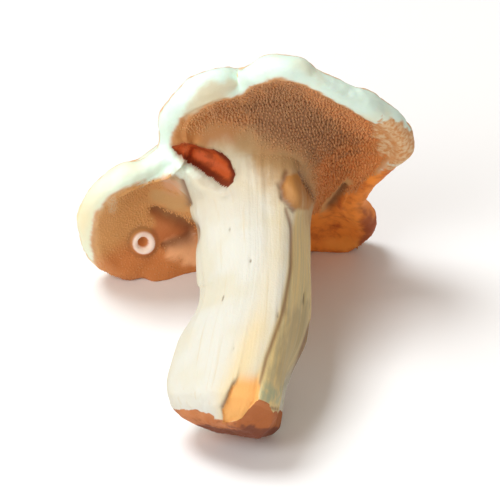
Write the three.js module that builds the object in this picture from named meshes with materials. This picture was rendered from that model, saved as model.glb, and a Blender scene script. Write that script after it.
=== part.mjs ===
// A hedgehog mushroom, Hydnum repandum: one fleshy body with a wavy, lobed cap, a stout stem
// trimmed at its foot, and soft teeth under the cap where other mushrooms have gills.
// It lies as picked, on the edge of its foot and on two lobes of its cap, with the teeth forward.
//
// Millimetres. +X is right, +Y runs back from the foot to the cap, and +Z is up.

import * as THREE from "three";

const { clamp, degToRad, lerp, radToDeg, smoothstep } = THREE.MathUtils;

// The turned mushroom: rows of vertices run out over the foot, up the stem, under the cap, round its
// edge and over its top.
const segments = 88;
const zones = { foot: 3, bevel: 3, stem: 15, underside: 13, edge: 6, top: 8 };

// The stem's middle line, from the centre of the trimmed foot to the neck, and its radius along the way.
const stemLine = new THREE.CatmullRomCurve3([
  new THREE.Vector3(-0.6, -6.3, 5.9),
  new THREE.Vector3(1.8, 2.8, 12.4),
  new THREE.Vector3(3.4, 13.7, 17.9),
  new THREE.Vector3(3.3, 25.4, 21.7),
  new THREE.Vector3(2.7, 37.0, 24.7),
]);
const stemLength = stemLine.getLength();
const stemRadii = [11.2, 10.6, 9.7, 9.9, 11.0];
const foot = { radius: 6.2, bevel: 5.0, slant: degToRad(7), squaredBy: 0.35 };

// A ridge climbs the front of the stem, turning to the right, with a flat beside it and a knob at its top.
const ridge = { footAngle: 74, neckAngle: 50, width: 17, height: 0.09 };
const flat = { beside: -36, width: 27, depth: 0.11 };

// The cap's own frame: its centre under the flesh, and how far its axis leans back from upright.
const capCentre = new THREE.Vector3(2.7, 42.8, 26.6);
const capLean = degToRad(72);

// The middle of the rolled edge, clockwise from the right as seen from the teeth: how far right of the
// cap's centre, how far up the cap's plane, and how far the lobe is bent away from the stem.
const edgeLine = new THREE.CatmullRomCurve3(
  [
    [25.7, 6.6, 0.8],
    [22.4, -0.8, 1.9],
    [17.6, -11.6, 3.0],
    [19.3, -21.6, 4.2],
    [16.0, -27.3, 5.4],
    [4.6, -25.7, 4.1],
    [-6.8, -25.0, 3.2],
    [-15.2, -24.8, -0.5],
    [-20.5, -24.9, -2.8],
    [-25.1, -21.4, -3.4],
    [-27.7, -10.5, -4.9],
    [-25.8, -0.5, -5.3],
    [-22.0, 3.4, -4.9],
    [-14.4, 5.9, -1.1],
    [-13.5, 13.3, 0],
    [-10.6, 20.6, -0.8],
    [-7.0, 23.4, -1.1],
    [-1.5, 22.6, 0.8],
    [1.2, 27.2, -0.8],
    [4.6, 29.8, -1.5],
    [17.9, 20.0, -0.8],
  ].map(([right, up, away]) => new THREE.Vector3(right, up, away)),
  true,
  "centripetal",
);
const edge = { radius: 2.3, rolledIn: degToRad(145) };
const flare = { depth: 6.1, reach: 4.2 }; // the neck's height below the cap's plane, and how soon it dies away
const hollow = { depth: 1.4, lobeAngle: -152, lobeWidth: 32, lobeDepth: 1.8 };
const top = { height: 8.4, dimple: 1.8, dimpleWidth: 0.34, roundness: 23 };

// Soft dents and swellings, in the cap's frame: each runs between two points and moves the flesh near
// them. First the deep pocket beside the neck, then the web under it, the stem's knob, and the foot's
// taper on the right and swelling on the left.
const brushes = [
  { from: [-11.0, 10.2, -4.4], to: [-5.2, 10.2, -8.4], width: 2.6, move: [1.2, -1.8, 1.4] },
  { from: [-13.6, 4.2, -3.8], to: [-4.6, 9.4, -11.6], width: 2.3, move: [-0.6, 0.6, -0.8] },
  { from: [6.2, 8.4, -12.0], to: [6.6, 8.2, -12.8], width: 1.9, move: [0.5, 0.8, -0.2] },
  { from: [9.2, -2.9, -45.0], to: [7.8, -5.0, -51.5], width: 5.8, move: [-4.3, 0, 0] },
  { from: [-10.4, 1.1, -38.6], to: [-12.0, -0.4, -44.0], width: 4.8, move: [-2.1, 0, 0] },
];

const teeth = { atNeck: 0.9, midway: 2.2, atEdge: 1.0, splay: 0.55, uneven: 0.22, fullCell: 1.4 };
const unevenness = 0.3; // how far the flesh swells and sinks
const restDepth = 0.8; // how far the flesh is pressed flat where it rests

const sideways = new THREE.Vector3(1, 0, 0);
const capAxis = new THREE.Vector3(0, Math.sin(capLean), Math.cos(capLean));
const capUp = sideways.clone().cross(capAxis);

// A direction given in the cap's own frame.
function capDirection(right, up, away) {
  return new THREE.Vector3()
    .addScaledVector(sideways, right)
    .addScaledVector(capUp, up)
    .addScaledVector(capAxis, away);
}

// A point given in the cap's own frame.
function capPoint(right, up, away) {
  return capDirection(right, up, away).add(capCentre);
}

// A bump that is 1 at its middle and has died away two widths out.
function bump(distance, width) {
  return Math.exp(-((distance / width) ** 2));
}

// The turn from one angle to another, in degrees, the short way round.
function turn(from, to) {
  return ((((to - from + 180) % 360) + 360) % 360) - 180;
}

// Reads evenly spaced values as one smooth curve.
function readAlong(values, share) {
  const line = new THREE.CatmullRomCurve3(values.map((value, i) => new THREE.Vector3(i, value, 0)));
  return line.getPoint(clamp(share, 0, 1)).y;
}

// A slow swelling over the flesh, between -1 and 1.
function swelling({ x, y, z }) {
  const drift = Math.sin(0.21 * x + 1.7 * Math.sin(0.13 * z)) + Math.sin(0.27 * y - 0.24 * z + 0.8);
  return (drift + Math.sin(0.43 * x - 0.31 * y + 0.37 * z)) / 3;
}

// The vertices of the edge's middle line, each with the way out of the cap and its angle round the cap.
const rim = edgeLine.getSpacedPoints(segments).slice(0, segments).map((middle, i, all) => {
  const ahead = all[(i + 1) % segments];
  const behind = all.at(i - 1);
  const out = new THREE.Vector2(behind.y - ahead.y, ahead.x - behind.x).normalize();
  return { middle, out, angle: Math.atan2(middle.y, middle.x) };
});

// How wide the stem is at an angle round it, as a share of its radius.
function stemSection(angle, climbed) {
  const crest = lerp(ridge.footAngle, ridge.neckAngle, climbed);
  const raised = ridge.height * bump(turn(crest, radToDeg(angle)), ridge.width);
  const lowered = flat.depth * bump(turn(crest + flat.beside, radToDeg(angle)), flat.width);
  return 1 + raised - lowered;
}

// A point of the stem: climbed is 0 at the foot and 1 at the neck.
function stemPoint(angle, climbed, radius) {
  const axis = stemLine.getTangentAt(climbed);
  const side = sideways.clone().addScaledVector(axis, -axis.x).normalize();
  const front = side.clone().cross(axis);
  const reach = radius * stemSection(angle, climbed);
  const slant = Math.tan(foot.slant) * Math.sin(angle) * reach * (1 - smoothstep(climbed, 0, foot.squaredBy));
  return stemLine
    .getPointAt(climbed)
    .addScaledVector(side, Math.cos(angle) * reach)
    .addScaledVector(front, Math.sin(angle) * reach)
    .addScaledVector(axis, -slant);
}

// Where each zone's rows grow, from share 0 at its start to 1 at its end.
const bevelClimb = foot.bevel / stemLength;
const grow = {
  foot: (share, evenAngle) => stemPoint(evenAngle, 0, foot.radius * share),
  bevel(share, evenAngle) {
    const climbed = share * bevelClimb;
    const radius = lerp(foot.radius, readAlong(stemRadii, climbed), Math.sin((share * Math.PI) / 2));
    return stemPoint(evenAngle, climbed, radius);
  },
  stem(share, evenAngle, { angle }) {
    const climbed = lerp(bevelClimb, 1, 1 - (1 - share) ** 1.3);
    const turned = evenAngle + degToRad(turn(radToDeg(evenAngle), radToDeg(angle))) * smoothstep(climbed, 0, 1);
    return stemPoint(turned, climbed, readAlong(stemRadii, climbed));
  },
  underside(share, evenAngle, { middle, out, angle }) {
    const inward = Math.cos(edge.rolledIn) * edge.radius;
    const neckRadius = stemRadii.at(-1) * stemSection(angle, 1);
    const right = lerp(Math.cos(angle) * neckRadius, middle.x + out.x * inward, share);
    const up = lerp(Math.sin(angle) * neckRadius, middle.y + out.y * inward, share);
    const neckFlare = flare.depth * Math.exp((neckRadius - Math.hypot(right, up)) / flare.reach);
    const lobe = hollow.lobeDepth * bump(turn(hollow.lobeAngle, radToDeg(angle)), hollow.lobeWidth);
    const arch = (hollow.depth + lobe) * Math.sin(Math.PI * share);
    const bend = (middle.z - Math.sin(edge.rolledIn) * edge.radius) * smoothstep(share, 0, 1);
    return capPoint(right, up, bend + arch - neckFlare);
  },
  edge(share, evenAngle, { middle, out }) {
    const roll = lerp(-edge.rolledIn, Math.PI / 2, share);
    const outward = edge.radius * Math.cos(roll);
    return capPoint(
      middle.x + out.x * outward,
      middle.y + out.y * outward,
      middle.z + edge.radius * Math.sin(roll),
    );
  },
  top(share, evenAngle, { middle, angle }) {
    const reach = 1 - share;
    const lobed = reach ** 3;
    const right = reach * lerp(Math.cos(angle) * top.roundness, middle.x, lobed);
    const up = reach * lerp(Math.sin(angle) * top.roundness, middle.y, lobed);
    const dome = lerp(edge.radius, top.height, 1 - reach ** 2) - top.dimple * bump(reach, top.dimpleWidth);
    return capPoint(right, up, middle.z * lobed + dome);
  },
};

const rows = Object.entries(zones).flatMap(([zone, count]) =>
  Array.from({ length: count }, (_, i) => ({ zone, share: (i + 1) / count })),
);
rows.unshift({ zone: "foot", share: 0 });

// Moves one vertex of the turned mushroom to where it grows.
function growVertex(segment, { zone, share }) {
  const evenAngle = rim[0].angle - (2 * Math.PI * segment) / segments;
  const point = grow[zone](share, evenAngle, rim[segment]);
  for (const { from, to, width, move } of brushes) {
    const spine = new THREE.Line3(capPoint(...from), capPoint(...to));
    const nearest = spine.closestPointToPoint(point, true, new THREE.Vector3());
    point.addScaledVector(capDirection(...move), bump(nearest.distanceTo(point), width));
  }
  if (zone === "foot") return point;
  const out = zone === "stem" || zone === "bevel" ? point.clone().sub(stemLine.getPointAt(0.5)) : capAxis.clone();
  return point.addScaledVector(out.normalize(), unevenness * swelling(point));
}

// The grown surface, one vertex for each segment of each row, pressed flat where it rests.
function grownRows() {
  const grown = rim.map((spot, segment) => rows.map((row) => growVertex(segment, row)));
  const lowest = Math.min(...grown.flat().map((point) => point.z));
  for (const point of grown.flat()) point.z = Math.max(point.z - lowest - restDepth, 0);
  return grown;
}

// The tip of the tooth that stands on one cell of the underside.
function toothTip(corners, share, segment) {
  const [a, b, c, d] = corners;
  const out = c.clone().sub(a).cross(d.clone().sub(b));
  const room = Math.min(out.length() / 2 / teeth.fullCell, 1);
  const uneven = 1 + teeth.uneven * Math.sin(7.3 * segment + 23 * share);
  const length = uneven * room * readAlong([teeth.atNeck, teeth.midway, teeth.atEdge], share);
  const aim = out.normalize().multiplyScalar(teeth.splay).sub(capAxis).normalize();
  const tip = a.clone().add(b).add(c).add(d).divideScalar(4).addScaledVector(aim, length);
  tip.z = Math.max(tip.z, 0);
  return tip;
}

// Turns a lathe, grows its vertices, and raises a tooth on each cell of the underside.
function mushroomGeometry() {
  const turned = new THREE.LatheGeometry(
    rows.map((row, i) => new THREE.Vector2(1, i)),
    segments,
  );
  const grown = grownRows();
  const vertex = (i) => grown[Math.floor(i / rows.length) % segments][i % rows.length];
  const triangles = [];
  const quads = turned.index.array;
  for (let i = 0; i < quads.length; i += 6) {
    const [a, b, d, c] = [quads[i], quads[i + 1], quads[i + 2], quads[i + 3]];
    const corners = [a, b, c, d].map(vertex);
    const { zone, share } = rows[d % rows.length];
    if (zone === "underside" && share < 1 - 1 / zones.underside) {
      const tip = toothTip(corners, share, Math.floor(a / rows.length));
      corners.forEach((corner, j) => triangles.push(corner, corners[(j + 1) % 4], tip));
    } else {
      triangles.push(corners[0], corners[1], corners[3], corners[2], corners[3], corners[1]);
    }
  }
  turned.dispose();
  const geometry = new THREE.BufferGeometry().setFromPoints(triangles);
  geometry.computeVertexNormals();
  return geometry;
}

const flesh = new THREE.MeshStandardMaterial({ color: 0xf0d9ac, roughness: 0.75, metalness: 0 });
const mushroom = new THREE.Mesh(mushroomGeometry(), flesh);
mushroom.name = "mushroom";

// The origin is under the middle of the mushroom, on the surface it rests on.
const box = new THREE.Box3().setFromObject(mushroom);
const middle = box.getCenter(new THREE.Vector3());
mushroom.position.set(-middle.x, -middle.y, -box.min.z);

const hedgehogMushroom = new THREE.Group();
hedgehogMushroom.add(mushroom);
export default hedgehogMushroom;
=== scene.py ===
import functools
import itertools
import math
import random

import bpy
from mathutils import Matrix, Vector, noise
from mathutils.geometry import intersect_point_line


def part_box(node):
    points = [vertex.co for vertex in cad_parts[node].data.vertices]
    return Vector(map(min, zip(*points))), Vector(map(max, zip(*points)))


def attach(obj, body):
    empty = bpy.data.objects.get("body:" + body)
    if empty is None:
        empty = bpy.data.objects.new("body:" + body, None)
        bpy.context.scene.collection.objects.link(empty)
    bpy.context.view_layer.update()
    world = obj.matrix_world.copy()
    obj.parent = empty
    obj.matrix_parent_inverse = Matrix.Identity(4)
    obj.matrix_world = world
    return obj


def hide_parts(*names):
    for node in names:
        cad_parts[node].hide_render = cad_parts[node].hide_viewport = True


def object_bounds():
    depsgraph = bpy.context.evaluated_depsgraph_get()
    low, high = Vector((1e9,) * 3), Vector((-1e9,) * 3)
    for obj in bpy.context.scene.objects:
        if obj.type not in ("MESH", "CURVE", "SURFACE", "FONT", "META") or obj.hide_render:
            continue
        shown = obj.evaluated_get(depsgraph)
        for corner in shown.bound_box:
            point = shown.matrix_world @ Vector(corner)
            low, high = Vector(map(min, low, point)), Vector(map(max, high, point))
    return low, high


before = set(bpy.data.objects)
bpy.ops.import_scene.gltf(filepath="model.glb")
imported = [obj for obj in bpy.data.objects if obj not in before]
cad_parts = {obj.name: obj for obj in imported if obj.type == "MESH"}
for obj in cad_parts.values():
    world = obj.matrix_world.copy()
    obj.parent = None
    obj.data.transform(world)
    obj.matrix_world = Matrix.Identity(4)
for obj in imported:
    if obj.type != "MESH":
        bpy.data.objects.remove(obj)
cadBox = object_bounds()
mm = 0.001


def lerp(start, end, share):
    return start + (end - start) * share


def clamp(value, low=0.0, high=1.0):
    return max(low, min(high, value))


def ease(value, low, high):  # 0 below low, 1 above high, smooth between
    share = clamp((value - low) / (high - low))
    return share * share * (3 - 2 * share)


def bump(distance, width):  # 1 at its middle, gone two widths out
    return math.exp(-((distance / width) ** 2))


def turnTo(fromAngle, toAngle):  # the short way round, in degrees
    return (toAngle - fromAngle + 180) % 360 - 180


class Curve:  # a smooth curve through a few points
    def __init__(self, points, closed=False, steps=400):
        self.points = [Vector(point) for point in points]
        self.closed = closed
        self.spots = [self.at(i / steps) for i in range(steps + 1)]
        self.lengths = [0.0]
        for last, spot in zip(self.spots, self.spots[1:]):
            self.lengths.append(self.lengths[-1] + (spot - last).length)

    def corner(self, i):
        count = len(self.points)
        if self.closed:
            return self.points[i % count]
        if i < 0:
            return 2 * self.points[0] - self.points[1]
        if i >= count:
            return 2 * self.points[-1] - self.points[-2]
        return self.points[i]

    def at(self, share):  # by the count of points
        spans = len(self.points) - (0 if self.closed else 1)
        span = min(int(share * spans), spans - 1)
        part = share * spans - span
        before, start, end, after = (self.corner(span + i) for i in (-1, 0, 1, 2))
        a, b, c = ((q - p).length ** 0.5 for p, q in ((before, start), (start, end), (end, after)))
        leave = ((start - before) / a - (end - before) / (a + b) + (end - start) / b) * b
        arrive = ((end - start) / b - (after - start) / (b + c) + (after - end) / c) * b
        bend = 3 * (end - start) - 2 * leave - arrive
        return start + leave * part + bend * part ** 2 + (leave + arrive - 2 * (end - start)) * part ** 3

    def along(self, share):  # by length
        goal = clamp(share) * self.lengths[-1]
        low, high = 0, len(self.lengths) - 1
        while high - low > 1:
            middle = (low + high) // 2
            low, high = (middle, high) if self.lengths[middle] <= goal else (low, middle)
        part = (goal - self.lengths[low]) / max(self.lengths[high] - self.lengths[low], 1e-9)
        return self.spots[low].lerp(self.spots[high], part)

    def heading(self, share, step=0.004):
        return (self.along(share + step) - self.along(share - step)).normalized()


@functools.cache
def curveOver(values):
    return Curve([(i, value, 0) for i, value in enumerate(values)], steps=1)


def readAlong(values, share):  # evenly spaced values, read as one smooth curve
    return curveOver(tuple(values)).at(clamp(share)).y


# The mushroom's growth, in zones from the middle of its foot to the middle of its top. Lengths are in
# millimetres and angles in degrees.
growth = {
    "segments": 168,
    "rows": {"foot": 6, "bevel": 8, "stem": 40, "underside": 26, "edge": 18, "top": 26},
    "stemLine": [
        (-0.6, -6.3, 5.9), (1.8, 2.8, 12.4), (3.4, 13.7, 17.9), (3.3, 25.4, 21.7), (2.7, 37.0, 24.7),
    ],
    "stemRadii": [11.2, 10.6, 9.7, 9.9, 11.0],
    "footRadius": 6.2,
    "footBevel": 5.0,
    "footSlant": 7,
    "slantReach": 0.35,  # share of the stem that leans with the foot
    "stemCrowding": 1.3,  # above 1, the stem's rows crowd towards the cap
    "ridge": {"footAngle": 74, "neckAngle": 50, "width": 17, "height": 0.09},
    "flat": {"beside": -36, "width": 27, "depth": 0.11},
    "capCentre": (2.7, 42.8, 26.6),
    "capLean": 72,
    "edgeLine": [  # right, up and away from the stem, in the cap's own frame
        (25.7, 6.6, 0.8), (22.4, -0.8, 1.9), (17.6, -11.6, 3.0), (19.3, -21.6, 4.2), (16.0, -27.3, 5.4),
        (4.6, -25.7, 4.1), (-6.8, -25.0, 3.2), (-15.2, -24.8, -0.5), (-20.5, -24.9, -2.8),
        (-25.1, -21.4, -3.4), (-27.7, -10.5, -4.9), (-25.8, -0.5, -5.3), (-22.0, 3.4, -4.9),
        (-14.4, 5.9, -1.1), (-13.5, 13.3, 0), (-10.6, 20.6, -0.8), (-7.0, 23.4, -1.1),
        (-1.5, 22.6, 0.8), (1.2, 27.2, -0.8), (4.6, 29.8, -1.5), (17.9, 20.0, -0.8),
    ],
    "edgeRadius": 2.3,
    "edgeRoll": 145,
    "flare": {"depth": 6.1, "reach": 4.2},
    "hollow": {"depth": 1.4, "lobeAngle": -152, "lobeWidth": 32, "lobeDepth": 1.8},
    "top": {"height": 8.4, "dimple": 1.8, "dimpleWidth": 0.34, "roundness": 23},
    "brushes": [  # the pocket by the neck, the web under it, the stem's knob, the foot's right and left
        {"line": ((-11.0, 10.2, -4.4), (-5.2, 10.2, -8.4)), "width": 2.6, "move": (1.2, -1.8, 1.4)},
        {"line": ((-13.6, 4.2, -3.8), (-4.6, 9.4, -11.6)), "width": 2.3, "move": (-0.6, 0.6, -0.8)},
        {"line": ((6.2, 8.4, -12.0), (6.6, 8.2, -12.8)), "width": 1.9, "move": (0.5, 0.8, -0.2)},
        {"line": ((9.2, -2.9, -45.0), (7.8, -5.0, -51.5)), "width": 5.8, "move": (-4.3, 0, 0)},
        {"line": ((-10.4, 1.1, -38.6), (-12.0, -0.4, -44.0)), "width": 4.8, "move": (-2.1, 0, 0)},
    ],
    "unevenness": 0.3,
    "restDepth": 0.8,
}

zoneNames = list(growth["rows"])
stemCurve = Curve(growth["stemLine"])
edgeCurve = Curve(growth["edgeLine"], closed=True)
sideways = Vector((1, 0, 0))
capAxis = Vector((0, math.sin(math.radians(growth["capLean"])), math.cos(math.radians(growth["capLean"]))))
capUp = sideways.cross(capAxis)


def capDirection(right, up, away):
    return sideways * right + capUp * up + capAxis * away


def capPoint(right, up, away):
    return Vector(growth["capCentre"]) + capDirection(right, up, away)


def swelling(spot):  # slow waves through the flesh, from -1 to 1, the same as in the solid
    x, y, z = spot
    drift = math.sin(0.21 * x + 1.7 * math.sin(0.13 * z)) + math.sin(0.27 * y - 0.24 * z + 0.8)
    return (drift + math.sin(0.43 * x - 0.31 * y + 0.37 * z)) / 3


def rimSpots():
    count = growth["segments"]
    middles = [edgeCurve.along(i / count) for i in range(count)]
    spots = []
    for i, middle in enumerate(middles):
        heading = middles[(i + 1) % count] - middles[i - 1]
        out = Vector((-heading.y, heading.x)).normalized()
        spots.append((middle, out, math.atan2(middle.y, middle.x)))
    return spots


def stemSection(angle, climbed):
    ridge, flat = growth["ridge"], growth["flat"]
    crest = lerp(ridge["footAngle"], ridge["neckAngle"], climbed)
    raised = ridge["height"] * bump(turnTo(crest, math.degrees(angle)), ridge["width"])
    lowered = flat["depth"] * bump(turnTo(crest + flat["beside"], math.degrees(angle)), flat["width"])
    return 1 + raised - lowered


def stemFrame(climbed):
    axis = stemCurve.heading(climbed)
    side = (sideways - axis * axis.x).normalized()
    return stemCurve.along(climbed), side, side.cross(axis), axis


def stemPoint(angle, climbed, radius):
    middle, side, front, axis = stemFrame(climbed)
    reach = radius * stemSection(angle, climbed)
    slant = math.tan(math.radians(growth["footSlant"])) * math.sin(angle) * reach * (
        1 - ease(climbed, 0, growth["slantReach"])
    )
    return middle + side * math.cos(angle) * reach + front * math.sin(angle) * reach - axis * slant


def growFoot(share, evenAngle, rim):
    return stemPoint(evenAngle, 0, growth["footRadius"] * share)


def growBevel(share, evenAngle, rim):
    climbed = share * growth["footBevel"] / stemCurve.lengths[-1]
    body = readAlong(growth["stemRadii"], climbed)
    return stemPoint(evenAngle, climbed, lerp(growth["footRadius"], body, math.sin(share * math.pi / 2)))


def growStem(share, evenAngle, rim):
    climbed = lerp(growth["footBevel"] / stemCurve.lengths[-1], 1, 1 - (1 - share) ** growth["stemCrowding"])
    twist = turnTo(math.degrees(evenAngle), math.degrees(rim[2]))
    turned = math.degrees(evenAngle) + twist * ease(climbed, 0, 1)
    return stemPoint(math.radians(turned), climbed, readAlong(growth["stemRadii"], climbed))


def growUnderside(share, evenAngle, rim):
    middle, out, angle = rim
    roll, radius, hollow = math.radians(growth["edgeRoll"]), growth["edgeRadius"], growth["hollow"]
    neckRadius = growth["stemRadii"][-1] * stemSection(angle, 1)
    right = lerp(math.cos(angle) * neckRadius, middle.x + out.x * math.cos(roll) * radius, share)
    up = lerp(math.sin(angle) * neckRadius, middle.y + out.y * math.cos(roll) * radius, share)
    beyond = math.hypot(right, up) - neckRadius
    flare = growth["flare"]["depth"] * math.exp(-beyond / growth["flare"]["reach"])
    lobe = hollow["lobeDepth"] * bump(turnTo(hollow["lobeAngle"], math.degrees(angle)), hollow["lobeWidth"])
    arch = (hollow["depth"] + lobe) * math.sin(math.pi * share)
    bend = (middle.z - math.sin(roll) * radius) * ease(share, 0, 1)
    return capPoint(right, up, bend + arch - flare)


def growEdge(share, evenAngle, rim):
    middle, out, angle = rim
    roll = lerp(-math.radians(growth["edgeRoll"]), math.pi / 2, share)
    outward, raised = growth["edgeRadius"] * math.cos(roll), growth["edgeRadius"] * math.sin(roll)
    return capPoint(middle.x + out.x * outward, middle.y + out.y * outward, middle.z + raised)


def growTop(share, evenAngle, rim):
    middle, out, angle = rim
    top, reach = growth["top"], 1 - share
    lobed = reach ** 3  # the lobes of the edge fade towards the middle
    right = reach * lerp(math.cos(angle) * top["roundness"], middle.x, lobed)
    up = reach * lerp(math.sin(angle) * top["roundness"], middle.y, lobed)
    dome = lerp(growth["edgeRadius"], top["height"], 1 - reach ** 2)
    return capPoint(right, up, middle.z * lobed + dome - top["dimple"] * bump(reach, top["dimpleWidth"]))


growZone = {
    "foot": growFoot, "bevel": growBevel, "stem": growStem,
    "underside": growUnderside, "edge": growEdge, "top": growTop,
}


def soften(spot, zone):  # the brushes and the slow swelling
    for brush in growth["brushes"]:
        start, end = (capPoint(*corner) for corner in brush["line"])
        nearest, share = intersect_point_line(spot, start, end)
        nearest = start.lerp(end, clamp(share))
        spot = spot + capDirection(*brush["move"]) * bump((spot - nearest).length, brush["width"])
    if zone == "foot":
        return spot
    out = spot - stemCurve.along(0.5) if zone in ("stem", "bevel") else capAxis
    return spot + out.normalized() * growth["unevenness"] * swelling(spot)


def inOrder(polygons):  # a primitive's faces come in another order each time
    faces = []
    for polygon in polygons:
        corners = list(polygon.vertices)
        first = corners.index(min(corners))
        faces.append(corners[first:] + corners[:first])
    return sorted(faces)


def growFlesh():
    segments, rows = growth["segments"], [("foot", 0.0)]
    for zone, count in growth["rows"].items():
        rows += [(zone, (i + 1) / count) for i in range(count)]
    rim = rimSpots()
    bpy.ops.mesh.primitive_uv_sphere_add(segments=segments, ring_count=len(rows) - 1, radius=1)
    flesh = bpy.context.object
    flesh.name = "mushroomFlesh"
    places, faces = [vertex.co.copy() for vertex in flesh.data.vertices], inOrder(flesh.data.polygons)
    flesh.data.clear_geometry()
    flesh.data.from_pydata(places, [], faces)
    along = flesh.data.attributes.new("along", "FLOAT", "POINT")  # zone number and share of the way through
    around = flesh.data.attributes.new("around", "FLOAT_VECTOR", "POINT")
    for vertex in flesh.data.vertices:
        x, y, z = vertex.co
        zone, share = rows[round((math.asin(clamp(z, -1, 1)) / math.pi + 0.5) * (len(rows) - 1))]
        segment = round(math.atan2(y, x) / (2 * math.pi) * segments) % segments
        evenAngle = rim[0][2] - 2 * math.pi * segment / segments
        vertex.co = soften(growZone[zone](share, evenAngle, rim[segment]), zone)
        along.data[vertex.index].value = zoneNames.index(zone) + share
        around.data[vertex.index].vector = (math.cos(evenAngle), math.sin(evenAngle), 0)
    return flesh


def onlySelect(piece):
    bpy.ops.object.select_all(action="DESELECT")
    piece.select_set(True)
    bpy.context.view_layer.objects.active = piece


def middleOf(vertices):
    low = Vector([min(vertex.co[i] for vertex in vertices) for i in range(3)])
    high = Vector([max(vertex.co[i] for vertex in vertices) for i in range(3)])
    return (low + high) / 2


bpy.ops.object.select_all(action="DESELECT")
flesh = growFlesh()
onlySelect(flesh)
cadLow, cadHigh = (Vector(corner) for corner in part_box("mushroom"))
shift = (cadLow + cadHigh) / 2 / mm - middleOf(flesh.data.vertices)
shift.z = -growth["restDepth"] - min(vertex.co.z for vertex in flesh.data.vertices)
for vertex in flesh.data.vertices:
    vertex.co += shift
capMiddle = Vector(growth["capCentre"]) + shift
print("grown", len(flesh.data.vertices), "vertices")

flesh.modifiers.new("finer", "SUBSURF").levels = 1
flesh.modifiers["finer"].render_levels = 1
bpy.ops.object.modifier_apply(modifier="finer")

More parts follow.
